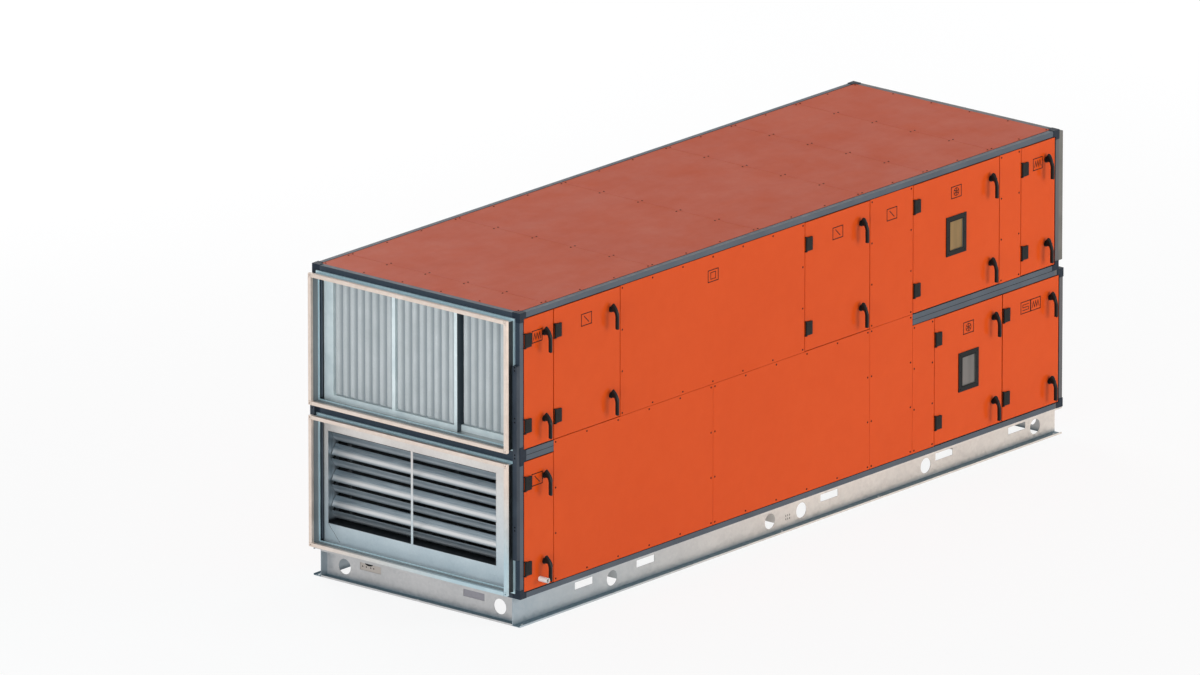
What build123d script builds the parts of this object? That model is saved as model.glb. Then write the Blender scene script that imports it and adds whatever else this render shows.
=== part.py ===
from build123d import *
import os

os.makedirs("parts", exist_ok=True)

# Air handling unit in two decks on a channel base. Millimetres, X along the unit, Y across it, Z up.
# Casing: square profiles round each deck, with sandwich panels set flush in them.
casing_width = 2000
deck_height = 1094
profile = 45
lip_width = 15
lip_step = 2
rebate = 31
panel_thickness = 50
panel_gap = 1.5
plug_inset = 27
inner_post_width = 50
inner_post_depth = 50
sill_height = 40
seat_gap = 0.2
corner_arm = 70
corner_proud = 4

# Service side, from the duct end: doors and fixed panels in each deck.
end_door_width = 340
upper_door_2_width = 758
upper_fixed_1_width = 2122
upper_door_3_width = 762
upper_fixed_2_width = 503
upper_door_4_width = 1023
upper_fixed_3_width = 252
upper_door_5_width = 408
lower_fixed_4_width = 258
lower_door_2_width = 807
lower_door_3_width = 673

# Doors: gaps, hinges, windows and compression levers.
door_flange = 25
hinge_side_gap = 5
free_side_gap = 6
door_end_gap = 5
door_plug_inset = 27
edge_relief = 4
hinge_pad_width = 70
hinge_pad_height = 103
hinge_pad_thickness = 16
hinge_pin_radius = 4
hinge_pin_clearance = 0.05
hinge_end_inset = 172
hinge_ear_thickness = 6
hinge_tongue = 3
window_width = 235
window_height = 305
window_bar = 38
window_proud = 7
window_bottom = 399
window_pane_thickness = 12
upper_window_offset = 389
lower_window_offset = 285
lever_inset = 108
lever_low_hub = 236
lever_pitch = 659
lever_nose = 44
lever_drop = 138
lever_reach = 65
lever_width = 23
lever_depth = 19
lever_hub_radius = 17
rosette_radius = 23
rosette_height = 11

# Roof and back panels.
roof_first_width = 306
roof_long_width = 1213
roof_short_width = 762

# Duct connections: flexible connectors at one end, a plain flange on the upper deck at the other.
connector_depth = 100
duct_flange_bar = 28
duct_flange_thickness = 25
casing_flange_thickness = 10
duct_flange_overlap = 4
sleeve_thickness = 6
end_flange_depth = 50
duct_bolt_radius = 5.5
duct_bolt_inset = 14

# Filter bank in the upper deck mouth.
filter_count = 3
filter_setback = 70
filter_depth = 45
filter_step = 45
filter_cell_gap = 8
filter_pockets = 8
filter_cloth = 5
filter_bar = 31
filter_bar_depth = 40
filter_side_offset = 75
filter_far_margin = 125
filter_open_height = 908
filter_header = 12
filter_header_depth = 20

# Damper in the lower deck mouth.
damper_height = 716
damper_side_offset = 281
damper_far_margin = 85
damper_setback = 70
damper_frame_bar = 30
damper_frame_depth = 120
blade_pitch = 100
blade_count = 7
blade_chord = 94
blade_thickness = 12
blade_rest_angle = 35
blade_shaft_radius = 6
blade_shaft_clearance = 0.05
blade_end_gap = 5
plate_thickness = 3
mullion_width = 20

# Base of folded channels with lifting holes and fork slots.
base_height = 215
channel_depth = 70
channel_wall = 4
channel_lip = 14
fork_slot_width = 204
fork_slot_height = 56
fork_slot_drop = 80
lifting_radius = 59
lifting_drop = 118
fork_slot_1 = 810
fork_slot_2 = 1515
fork_slot_3 = 3643
fork_slot_4 = 4995
fork_slot_5 = 5860
lifting_hole_1 = 1131
lifting_hole_2 = 2952
lifting_hole_3 = 3317
lifting_hole_4 = 4777
lifting_hole_5 = 6078
end_slot_1 = 502
end_slot_2 = 1505
slot_cover_thickness = 3
slot_cover_lap = 12
end_hole_1 = 250
end_hole_2 = 1757
cross_member_1 = 1215
cross_member_2 = 3020
cross_member_3 = 4150
cross_member_4 = 5300
cross_member_width = 60
cross_member_height = 150

# Joining strips on the duct end, and the drain stub on the lower end door.
strip_length = 1487
strip_bottom = 306
strip_thickness = 32
drain_length = 80
drain_radius = 20
drain_bore = 16
drain_inset = 228
drain_height = 110

# Positions along the unit, from the casing's duct end.
seam_1 = profile + end_door_width
seam_2 = seam_1 + upper_door_2_width
seam_3 = seam_2 + upper_fixed_1_width
seam_4 = seam_3 + upper_door_3_width
seam_5 = seam_4 + upper_fixed_2_width
seam_6 = seam_5 + upper_door_4_width
seam_7 = seam_6 + upper_fixed_3_width
seam_8 = seam_7 + upper_door_5_width
seam_long = (seam_1 + seam_4) / 2
seam_9 = seam_5 + lower_fixed_4_width
seam_10 = seam_9 + lower_door_2_width
seam_11 = seam_10 + lower_door_3_width
upper_length = seam_8 + profile
lower_length = seam_11 + profile

overall_length = connector_depth + max(lower_length + corner_proud, upper_length + end_flange_depth)
overall_depth = drain_length + casing_width + corner_proud
x_end = connector_depth - overall_length / 2
y_face = drain_length - overall_depth / 2
y_back = y_face + casing_width
z_lower = base_height
z_upper = z_lower + deck_height
z_top = z_upper + deck_height

# Heights of the panel fields in each deck, from the casing's underside.
low_sill = profile
low_head = deck_height - profile
high_sill = deck_height + profile
high_head = 2 * deck_height - profile

service = Plane(origin=(x_end, y_face, z_lower), x_dir=(1, 0, 0), z_dir=(0, -1, 0))
back = Plane(origin=(x_end, y_back, z_lower), x_dir=(-1, 0, 0), z_dir=(0, 1, 0))
plan = Plane(origin=(x_end, y_face, z_lower), x_dir=(1, 0, 0), z_dir=(0, 0, 1))
duct_end = Plane(origin=(x_end, y_face, z_lower), x_dir=(0, 1, 0), z_dir=(1, 0, 0))


def panel(x_low, x_high, z_low, z_high, face):
    width = x_high - x_low - 2 * panel_gap
    height = z_high - z_low - 2 * panel_gap
    centre = ((x_low + x_high) / 2, (z_low + z_high) / 2)
    with BuildSketch(face) as skin:
        with Locations(centre):
            Rectangle(width, height)
    extrude(skin.sketch, amount=-rebate)
    with BuildSketch(face.offset(-rebate)) as plug:
        with Locations(centre):
            Rectangle(width - 2 * plug_inset, height - 2 * plug_inset)
    extrude(plug.sketch, amount=-(panel_thickness - rebate))


def bar(x_low, x_high, y_low, y_high, z_low, z_high):
    x_mid = x_end + (x_low + x_high) / 2
    y_mid = y_face + (y_low + y_high) / 2
    z_mid = z_lower + (z_low + z_high) / 2
    with Locations((x_mid, y_mid, z_mid)):
        Box(x_high - x_low, y_high - y_low, z_high - z_low)


# Fixed panels on the service side. The lower deck's first three cover the rails between the decks.
with BuildPart() as side_panels:
    panel(seam_2, seam_3, high_sill, high_head, service)
    panel(seam_4, seam_5, high_sill, high_head, service)
    panel(seam_6, seam_7, high_sill, high_head, service)
    panel(seam_1, seam_long, low_sill, high_sill, service)
    panel(seam_long, seam_4, low_sill, high_sill, service)
    panel(seam_4, seam_5, low_sill, high_sill, service)
    panel(seam_5, seam_9, low_sill, low_head, service)
side_panels.part.label = "side_panels"
export_step(side_panels.part, "parts/side_panels.step")

# Back panels and roof panels share the roof's divisions.
roof_1 = profile + roof_first_width
roof_2 = roof_1 + roof_long_width
roof_3 = roof_2 + roof_long_width
roof_4 = roof_3 + roof_long_width
roof_5 = roof_4 + roof_short_width
roof_6 = roof_5 + roof_short_width
upper_divisions = [profile, roof_1, roof_2, roof_3, roof_4, roof_5, roof_6, upper_length - profile]
lower_divisions = [profile, roof_1, roof_2, roof_3, roof_4, roof_5, roof_6, lower_length - profile]

with BuildPart() as back_panels:
    for x_low, x_high in zip(upper_divisions, upper_divisions[1:]):
        panel(-x_high, -x_low, high_sill, high_head, back)
    for x_low, x_high in zip(lower_divisions, lower_divisions[1:]):
        panel(-x_high, -x_low, low_sill, low_head, back)
back_panels.part.label = "back_panels"
export_step(back_panels.part, "parts/back_panels.step")

with BuildPart() as roof_panels:
    roof_plane = plan.offset(2 * deck_height)
    for x_low, x_high in zip(upper_divisions, upper_divisions[1:]):
        panel(x_low, x_high, profile, casing_width - profile, roof_plane)
roof_panels.part.label = "roof_panels"
export_step(roof_panels.part, "parts/roof_panels.step")

# Floors: the lower deck's own floor, its ceiling, and the upper deck's floor just over it.
with BuildPart() as deck_floors:
    edge = profile + lip_width
    mid_edge = rebate + inner_post_depth
    upper_floor = deck_height + seat_gap
    bar(profile, lower_length - profile, edge, casing_width - edge, 0, profile)
    bar(profile, lower_length - profile, mid_edge, casing_width - edge, low_head, deck_height)
    bar(profile, seam_1, edge, mid_edge, low_head, deck_height)
    bar(seam_5, lower_length - profile, edge, mid_edge, low_head, deck_height)
    bar(profile, upper_length - profile, mid_edge, casing_width - edge, upper_floor, high_sill)
    bar(profile, seam_1, edge, mid_edge, upper_floor, high_sill)
    bar(seam_5, upper_length - profile, edge, mid_edge, upper_floor, high_sill)
deck_floors.part.label = "deck_floors"
export_step(deck_floors.part, "parts/deck_floors.step")

# Blind end wall of the lower deck.
with BuildPart() as lower_end_wall:
    blind_end = Plane(origin=(x_end + lower_length, y_face, z_lower), x_dir=(0, 1, 0), z_dir=(1, 0, 0))
    panel(profile, casing_width - profile, low_sill, low_head, blind_end)
lower_end_wall.part.label = "lower_end_wall"
export_step(lower_end_wall.part, "parts/lower_end_wall.step")


lip_middle = profile + lip_width / 2
seat_middle = (rebate + profile) / 2
step_middle = (rebate + profile - lip_step) / 2


def rail(length_low, length_high, y_outer, y_in, z_outer, z_in):
    # Square profile along X with a lip along each of the two faces that a panel rests on.
    relief = lip_width + seat_gap
    start = Plane(origin=(x_end + length_low, y_face, z_lower), x_dir=(0, 1, 0), z_dir=(1, 0, 0))
    with BuildSketch(start) as section:
        with Locations((y_outer + y_in * profile / 2, z_outer + z_in * profile / 2)):
            Rectangle(profile, profile)
    extrude(section.sketch, amount=length_high - length_low)
    with BuildSketch(start.offset(relief)) as lips:
        with Locations((y_outer + y_in * step_middle, z_outer + z_in * lip_middle)):
            Rectangle(profile - rebate - lip_step, lip_width)
        with Locations((y_outer + y_in * lip_middle, z_outer + z_in * seat_middle)):
            Rectangle(lip_width, profile - rebate)
    extrude(lips.sketch, amount=length_high - length_low - 2 * relief)


def post(x_outer, x_in, y_outer, y_in, z_low, z_high):
    # Corner post: square profile with a lip along both of its rebates.
    with BuildSketch(plan.offset(z_low + seat_gap)) as section:
        with Locations((x_outer + x_in * profile / 2, y_outer + y_in * profile / 2)):
            Rectangle(profile, profile)
        with Locations((x_outer + x_in * lip_middle, y_outer + y_in * seat_middle)):
            Rectangle(lip_width, profile - rebate)
        with Locations((x_outer + x_in * step_middle, y_outer + y_in * lip_middle)):
            Rectangle(profile - rebate - lip_step, lip_width)
    extrude(section.sketch, amount=z_high - z_low - 2 * seat_gap)


# Frames of the two decks. The rails between the decks show only beside the end doors.
with BuildPart() as casing_frame:
    for length, z_foot, z_head, deck in (
        (lower_length, 0, deck_height, 1),
        (upper_length, deck_height + seat_gap, 2 * deck_height, -1),
    ):
        mid_z = z_head if deck == 1 else z_foot
        outer_z = z_foot if deck == 1 else z_head
        rail(corner_arm, length - corner_arm, 0, 1, outer_z, deck)
        rail(corner_arm, length - corner_arm, casing_width, -1, outer_z, deck)
        rail(corner_arm, length - corner_arm, casing_width, -1, mid_z, -deck)
        rail(corner_arm, seam_1 - panel_gap, 0, 1, mid_z, -deck)
        rail(seam_5 + panel_gap, length - corner_arm, 0, 1, mid_z, -deck)
        for x_corner, x_in in ((0, 1), (length, -1)):
            for y_corner, y_in in ((0, 1), (casing_width, -1)):
                post(x_corner, x_in, y_corner, y_in, z_foot + corner_arm, z_head - corner_arm)
        for x_low in (0, length - profile):
            y_near = corner_arm + seat_gap
            bar(x_low, x_low + profile, y_near, casing_width - y_near, z_foot, z_foot + profile)
            bar(x_low, x_low + profile, y_near, casing_width - y_near, z_head - profile, z_head)
casing_frame.part.label = "casing_frame"
export_step(casing_frame.part, "parts/casing_frame.step")

# Corner blocks: three arms each, along the rails and the post that plug into them, a little proud.
def corner_block(x_outer, x_in, y_outer, y_in, z_outer, z_in, x_proud, z_proud):
    for x_arm, y_arm, z_arm in (
        (corner_arm, profile, profile),
        (profile, corner_arm, profile),
        (profile, profile, corner_arm),
    ):
        x_low, x_high = sorted((x_outer - x_in * x_proud, x_outer + x_in * x_arm))
        y_low, y_high = sorted((y_outer - y_in * corner_proud, y_outer + y_in * y_arm))
        z_low, z_high = sorted((z_outer - z_in * z_proud, z_outer + z_in * z_arm))
        bar(x_low, x_high, y_low, y_high, z_low, z_high)


with BuildPart() as corner_blocks:
    for length, z_foot, z_head, far_proud, head_proud in (
        (lower_length, 0, deck_height, corner_proud, 0),
        (upper_length, deck_height + seat_gap, 2 * deck_height, 0, corner_proud),
    ):
        for y_corner, y_in in ((0, 1), (casing_width, -1)):
            corner_block(0, 1, y_corner, y_in, z_foot, 1, 0, 0)
            corner_block(0, 1, y_corner, y_in, z_head, -1, 0, head_proud)
            corner_block(length, -1, y_corner, y_in, z_foot, 1, far_proud, 0)
            corner_block(length, -1, y_corner, y_in, z_head, -1, far_proud, head_proud)
corner_blocks.part.label = "corner_blocks"
export_step(corner_blocks.part, "parts/corner_blocks.step")

# Posts behind the seams on the service side, and the sill behind the joint between the decks.
half_post = inner_post_width / 2
sill_foot = high_sill - sill_height / 2 - 5
with BuildPart() as inner_posts:
    for seam in (seam_1, seam_2, seam_3, seam_4, seam_5, seam_6, seam_7):
        foot = high_sill + lip_width + seat_gap
        bar(seam - half_post, seam + half_post, rebate, mid_edge, foot, high_head - lip_width)
    for seam in (seam_1, seam_5, seam_9, seam_10):
        bar(seam - half_post, seam + half_post, rebate, mid_edge, low_sill + lip_width, low_head - lip_width)
    for seam in (seam_long, seam_4):
        bar(seam - half_post, seam + half_post, rebate, mid_edge, low_sill + lip_width, sill_foot - seat_gap)
    bar(seam_1, seam_5, rebate, mid_edge, sill_foot, high_sill + lip_width)
inner_posts.part.label = "inner_posts"
export_step(inner_posts.part, "parts/inner_posts.step")

# Doors hang on their duct-end side.

def door(name, x_low, x_high, z_low, z_high, window_offset):
    x_left = x_low + hinge_side_gap
    x_right = x_high - free_side_gap
    z_bottom = z_low + door_end_gap
    z_head = z_high - door_end_gap
    middle = ((x_left + x_right) / 2, (z_bottom + z_head) / 2)
    deck_base = z_low - profile
    pin_x = x_left + hinge_pad_thickness / 2
    pin_y = -hinge_pad_thickness / 2
    pad_lows = (
        deck_base + hinge_end_inset,
        deck_base + deck_height - hinge_end_inset + 6 - hinge_pad_height,
    )
    hub_x = x_high - lever_inset
    hub_zs = (deck_base + lever_low_hub, deck_base + lever_low_hub + lever_pitch)
    pane = (window_width - 2 * window_bar, window_height - 2 * window_bar)
    cut_out = (window_width - window_bar + 14, window_height - window_bar + 14)
    window_at = (x_low + window_offset, deck_base + window_bottom + window_height / 2)

    with BuildPart() as leaf:
        with BuildSketch(plan.offset(z_bottom)) as flange:
            with BuildLine():
                Polyline(
                    (x_left, 0),
                    (x_right, 0),
                    (x_right - edge_relief, door_flange),
                    (x_left, door_flange),
                    close=True,
                )
            make_face()
        extrude(flange.sketch, amount=z_head - z_bottom)
        with BuildSketch(service.offset(-door_flange)) as plug:
            with Locations(middle):
                Rectangle(
                    x_right - x_left - 2 * door_plug_inset, z_head - z_bottom - 2 * door_plug_inset
                )
        extrude(plug.sketch, amount=-(panel_thickness - door_flange))
        if window_offset:
            with BuildSketch(service) as hole:
                with Locations(window_at):
                    Rectangle(cut_out[0], cut_out[1])
            extrude(hole.sketch, amount=-panel_thickness, mode=Mode.SUBTRACT)
    leaf.part.label = name + "_panel"
    export_step(leaf.part, "parts/" + name + "_panel.step")

    with BuildPart() as fittings:
        for pad_low in pad_lows:
            with BuildSketch(plan.offset(pad_low)) as pad:
                with Locations((x_left + (hinge_pad_thickness / 2 + hinge_pad_width) / 2, pin_y)):
                    Rectangle(hinge_pad_width - hinge_pad_thickness / 2, hinge_pad_thickness)
                with Locations((pin_x, pin_y)):
                    Circle(hinge_pad_thickness / 2)
                    Circle(hinge_pin_radius + hinge_pin_clearance, mode=Mode.SUBTRACT)
            extrude(pad.sketch, amount=hinge_pad_height)
        for hub_z in hub_zs:
            # Lever: a swan-necked arm swept from the nose over the hub to the grip.
            side = Plane(
                origin=(x_end + hub_x, y_face, z_lower + hub_z), x_dir=(0, -1, 0), z_dir=(-1, 0, 0)
            )
            with BuildLine(side) as spine:
                neck = Spline(
                    (lever_reach * 0.36, lever_nose - lever_depth / 2),
                    (lever_reach * 0.68, lever_nose * 0.32),
                    (lever_reach, -lever_nose * 0.8),
                    tangents=((1, -0.35), (0, -1)),
                )
                Line(neck @ 1, (lever_reach, -lever_drop))
            start = Plane(origin=spine.line @ 0, x_dir=(1, 0, 0), z_dir=spine.line % 0)
            with BuildSketch(start) as grip:
                RectangleRounded(lever_width, lever_depth, lever_depth * 0.3)
            sweep(grip.sketch, path=spine.line)
            with BuildSketch(service) as hub:
                with Locations((hub_x, hub_z)):
                    Circle(lever_hub_radius)
            extrude(hub.sketch, amount=lever_reach * 0.8)
            with BuildSketch(service) as rosette:
                with Locations((hub_x, hub_z)):
                    Circle(rosette_radius)
            extrude(rosette.sketch, amount=rosette_height)
        if window_offset:
            with BuildSketch(service) as rim:
                with Locations(window_at):
                    Rectangle(window_width, window_height)
                    Rectangle(pane[0], pane[1], mode=Mode.SUBTRACT)
            extrude(rim.sketch, amount=window_proud)
            with BuildSketch(service) as sleeve:
                with Locations(window_at):
                    Rectangle(cut_out[0], cut_out[1])
                    Rectangle(pane[0], pane[1], mode=Mode.SUBTRACT)
            extrude(sleeve.sketch, amount=-panel_thickness)
    fittings.part.label = name + "_fittings"
    export_step(fittings.part, "parts/" + name + "_fittings.step")

    if window_offset:
        with BuildPart() as glass:
            with BuildSketch(service.offset(-2)) as sheet:
                with Locations(window_at):
                    Rectangle(pane[0], pane[1])
            extrude(sheet.sketch, amount=-window_pane_thickness)
        glass.part.label = name + "_pane"
        export_step(glass.part, "parts/" + name + "_pane.step")

    return [(x_left, pin_x, pin_y, pad_low) for pad_low in pad_lows]


hinges = []
hinges += door("upper_door_1", profile, seam_1, high_sill, high_head, 0)
hinges += door("upper_door_2", seam_1, seam_2, high_sill, high_head, 0)
hinges += door("upper_door_3", seam_3, seam_4, high_sill, high_head, 0)
upper_window = upper_window_offset + window_width / 2
lower_window = lower_window_offset + window_width / 2
hinges += door("upper_door_4", seam_5, seam_6, high_sill, high_head, upper_window)
hinges += door("upper_door_5", seam_7, seam_8, high_sill, high_head, 0)
hinges += door("lower_door_1", profile, seam_1, low_sill, low_head, 0)
hinges += door("lower_door_2", seam_9, seam_10, low_sill, low_head, lower_window)
hinges += door("lower_door_3", seam_10, seam_11, low_sill, low_head, 0)

# Hinge brackets: a tongue through the seam, two ears and the pin the door's pad turns on.
with BuildPart() as hinge_brackets:
    ear_gap = 0.5
    ear_radius = hinge_pad_thickness / 2 - ear_gap
    for x_left, pin_x, pin_y, pad_low in hinges:
        tongue_x = x_left - 1.5 - hinge_tongue / 2
        low = pad_low - ear_gap - hinge_ear_thickness
        high = pad_low + hinge_pad_height + ear_gap
        bar(tongue_x - hinge_tongue / 2, tongue_x + hinge_tongue / 2, 0, rebate, low, high + hinge_ear_thickness)
        for ear_low in (low, high):
            with BuildSketch(plan.offset(ear_low)) as ear:
                with Locations((pin_x, pin_y)):
                    Circle(ear_radius)
                with Locations(((tongue_x - hinge_tongue / 2 + pin_x) / 2, pin_y)):
                    Rectangle(pin_x - tongue_x + hinge_tongue / 2, 2 * ear_radius)
                with Locations((tongue_x, pin_y / 2)):
                    Rectangle(hinge_tongue, -pin_y + 2)
            extrude(ear.sketch, amount=hinge_ear_thickness)
        with BuildSketch(plan.offset(low)) as pin:
            with Locations((pin_x, pin_y)):
                Circle(hinge_pin_radius)
        extrude(pin.sketch, amount=hinge_pad_height + 2 * ear_gap + 2 * hinge_ear_thickness)
hinge_brackets.part.label = "hinge_brackets"
export_step(hinge_brackets.part, "parts/hinge_brackets.step")

# Drain stub through the lower end door.
with BuildPart() as drain_stub:
    with BuildSketch(service) as stub:
        with Locations((drain_inset, drain_height)):
            Circle(drain_radius)
            Circle(drain_bore, mode=Mode.SUBTRACT)
    extrude(stub.sketch, amount=drain_length)
drain_stub.part.label = "drain_stub"
export_step(drain_stub.part, "parts/drain_stub.step")


def ring(x_low, thickness, z_low, z_high, bar_width, grow, holes):
    # Rectangular ring square to the unit's length, as large as the deck's mouth plus grow all round.
    outer = (casing_width - 2 * profile + 2 * grow, z_high - z_low + 2 * grow)
    centre = (casing_width / 2, (z_low + z_high) / 2)
    with BuildSketch(duct_end.offset(x_low)) as flange:
        with Locations(centre):
            Rectangle(outer[0], outer[1])
            Rectangle(outer[0] - 2 * bar_width, outer[1] - 2 * bar_width, mode=Mode.SUBTRACT)
            if holes:
                with GridLocations(outer[0] - 2 * duct_bolt_inset, outer[1] - 2 * duct_bolt_inset, 2, 2):
                    Circle(duct_bolt_radius, mode=Mode.SUBTRACT)
    extrude(flange.sketch, amount=thickness)


# Flexible duct connectors: a flange on the casing, a flange for the duct, and a sleeve between.
sleeve_grow = duct_flange_overlap - duct_flange_bar / 2
sleeve_length = connector_depth - duct_flange_thickness - casing_flange_thickness
duct_bar = duct_flange_bar
grow = duct_flange_overlap
mouths = ((low_sill, low_head), (high_sill, high_head))
with BuildPart() as duct_flanges:
    for z_low, z_high in mouths:
        ring(-connector_depth, duct_flange_thickness, z_low, z_high, duct_bar, grow, True)
        ring(-casing_flange_thickness, casing_flange_thickness, z_low, z_high, duct_bar, grow, False)
    ring(upper_length, end_flange_depth, high_sill, high_head, duct_bar, grow, True)
duct_flanges.part.label = "duct_flanges"
export_step(duct_flanges.part, "parts/duct_flanges.step")

with BuildPart() as connector_sleeves:
    for z_low, z_high in mouths:
        sleeve_start = duct_flange_thickness - connector_depth
        ring(sleeve_start, sleeve_length, z_low, z_high, sleeve_thickness, sleeve_grow, False)
connector_sleeves.part.label = "connector_sleeves"
export_step(connector_sleeves.part, "parts/connector_sleeves.step")

# Strips that tie the two decks together on the duct end.
with BuildPart() as joining_strips:
    strip_width = profile - duct_flange_overlap
    strip_top = strip_bottom + strip_length
    bar(-strip_thickness, 0, 0, strip_width, strip_bottom, strip_top)
    bar(-strip_thickness, 0, casing_width - strip_width, casing_width, strip_bottom, strip_top)
joining_strips.part.label = "joining_strips"
export_step(joining_strips.part, "parts/joining_strips.step")

# Filter bank: a holding frame across the mouth and pleated filter cells behind it. The cell next to
# the service doors stands one step further in.
filter_pitch = (casing_width - filter_side_offset - filter_far_margin) / filter_count
filter_cell_width = filter_pitch - filter_cell_gap
filter_opening = filter_pitch - filter_bar
filter_middle = (high_sill + high_head) / 2
filter_edge = panel_thickness + door_end_gap
filter_far_edge = casing_width - panel_thickness
filter_foot = high_sill + seat_gap
filter_top = 2 * deck_height - panel_thickness
step_divider = filter_side_offset + filter_pitch
step_low = step_divider - filter_bar / 2
step_high = step_divider + filter_cell_gap / 2 - seat_gap
filter_middles = [filter_side_offset + (cell + 0.5) * filter_pitch for cell in range(filter_count)]
filter_setbacks = [filter_setback + (filter_step if cell == 0 else 0) for cell in range(filter_count)]
with BuildPart() as filter_frame:
    for setback, y_low, y_high in (
        (filter_setback, step_low, filter_far_edge),
        (filter_setback + filter_step, filter_edge, step_high),
    ):
        with BuildSketch(duct_end.offset(setback)) as front:
            with Locations(((y_low + y_high) / 2, (filter_foot + filter_top) / 2)):
                Rectangle(y_high - y_low, filter_top - filter_foot)
            for cell_middle in filter_middles:
                if y_low < cell_middle < y_high:
                    with Locations((cell_middle, filter_middle)):
                        Rectangle(filter_opening, filter_open_height, mode=Mode.SUBTRACT)
        extrude(front.sketch, amount=filter_bar_depth)
    step_depth = filter_step + filter_bar_depth
    bar(filter_setback, filter_setback + step_depth, step_low, step_high, filter_foot, filter_top)
filter_frame.part.label = "filter_frame"
export_step(filter_frame.part, "parts/filter_frame.step")

with BuildPart() as filter_cells:
    fold = (filter_opening + 2) / (2 * filter_pockets)
    for setback, cell_middle in zip(filter_setbacks, filter_middles):
        filter_front = setback + filter_bar_depth
        with BuildSketch(duct_end.offset(filter_front)) as header:
            with Locations((cell_middle, filter_middle)):
                Rectangle(filter_cell_width, filter_open_height + 2 * filter_header)
                Rectangle(filter_opening, filter_open_height, mode=Mode.SUBTRACT)
        extrude(header.sketch, amount=filter_header_depth)
        first = cell_middle - filter_opening / 2 - 1
        with BuildSketch(plan.offset(filter_middle - filter_open_height / 2 - 1)) as cloth:
            with BuildLine():
                near = [
                    (filter_front + 1 + (k % 2) * filter_depth, first + k * fold)
                    for k in range(2 * filter_pockets + 1)
                ]
                far = [(x + filter_cloth, y) for x, y in reversed(near)]
                Polyline(*near, *far, close=True)
            make_face()
        extrude(cloth.sketch, amount=filter_open_height + 2)
filter_cells.part.label = "filter_cells"
export_step(filter_cells.part, "parts/filter_cells.step")

# Blanking plate round the damper in the lower mouth, and the damper's frame behind it.
damper_width = casing_width - damper_side_offset - damper_far_margin
damper_middle = (damper_side_offset + damper_width / 2, (low_sill + low_head) / 2)
with BuildPart() as blanking_plate:
    with BuildSketch(duct_end.offset(damper_setback - plate_thickness)) as plate:
        with Locations((casing_width / 2, damper_middle[1])):
            Rectangle(casing_width - 2 * profile, low_head - low_sill)
        with Locations(damper_middle):
            Rectangle(damper_width, damper_height, mode=Mode.SUBTRACT)
            Rectangle(mullion_width, damper_height)
    extrude(plate.sketch, amount=plate_thickness)
blanking_plate.part.label = "blanking_plate"
export_step(blanking_plate.part, "parts/blanking_plate.step")

blade_x = damper_setback + damper_frame_depth / 2
blade_plane = Plane(
    origin=(x_end, y_face + damper_side_offset, z_lower), x_dir=(1, 0, 0), z_dir=(0, -1, 0)
)
blade_first = damper_middle[1] - (blade_count - 1) * blade_pitch / 2
blade_heights = [blade_first + k * blade_pitch for k in range(blade_count)]
with BuildPart() as damper_frame:
    with BuildSketch(duct_end.offset(damper_setback)) as surround:
        with Locations(damper_middle):
            Rectangle(damper_width + 2 * damper_frame_bar, damper_height + 2 * damper_frame_bar)
            Rectangle(damper_width, damper_height, mode=Mode.SUBTRACT)
    extrude(surround.sketch, amount=damper_frame_depth)
    for blade_z in blade_heights:
        with BuildSketch(blade_plane) as bore:
            with Locations((blade_x, blade_z)):
                Circle(blade_shaft_radius + blade_shaft_clearance)
        extrude(bore.sketch, amount=damper_frame_bar, mode=Mode.SUBTRACT)
        extrude(bore.sketch, amount=-damper_width - damper_frame_bar, mode=Mode.SUBTRACT)
damper_frame.part.label = "damper_frame"
export_step(damper_frame.part, "parts/damper_frame.step")

# Opposed blades: neighbours tilt the opposite way about their shafts.
for number, blade_z in enumerate(blade_heights, start=1):
    tilt = -blade_rest_angle if number % 2 else blade_rest_angle
    with BuildPart() as blade:
        with BuildSketch(blade_plane.offset(-blade_end_gap)) as foil:
            with Locations(Location((blade_x, blade_z, 0), (0, 0, 90 - tilt))):
                Ellipse(blade_chord / 2, blade_thickness / 2)
        extrude(foil.sketch, amount=-(damper_width - 2 * blade_end_gap))
        with BuildSketch(blade_plane.offset(damper_frame_bar * 0.8)) as shaft:
            with Locations((blade_x, blade_z)):
                Circle(blade_shaft_radius)
        extrude(shaft.sketch, amount=-(damper_width + 1.6 * damper_frame_bar))
    blade.part.label = f"damper_blade_{number}"
    export_step(blade.part, f"parts/damper_blade_{number}.step")


# Base: folded channels open outwards, with lifting holes and fork slots through their webs.
def channel(start, length, side):
    with BuildSketch(start) as section:
        with Locations((side * channel_depth / 2, channel_wall / 2)):
            Rectangle(channel_depth, channel_wall)
        with Locations((side * channel_depth / 2, base_height - channel_wall / 2)):
            Rectangle(channel_depth, channel_wall)
        with Locations((side * (channel_depth + channel_wall / 2), base_height / 2)):
            Rectangle(channel_wall, base_height)
        with Locations((side * channel_wall / 4, channel_lip / 2)):
            Rectangle(channel_wall / 2, channel_lip)
        with Locations((side * channel_wall / 4, base_height - channel_lip / 2)):
            Rectangle(channel_wall / 2, channel_lip)
    extrude(section.sketch, amount=length)


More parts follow.
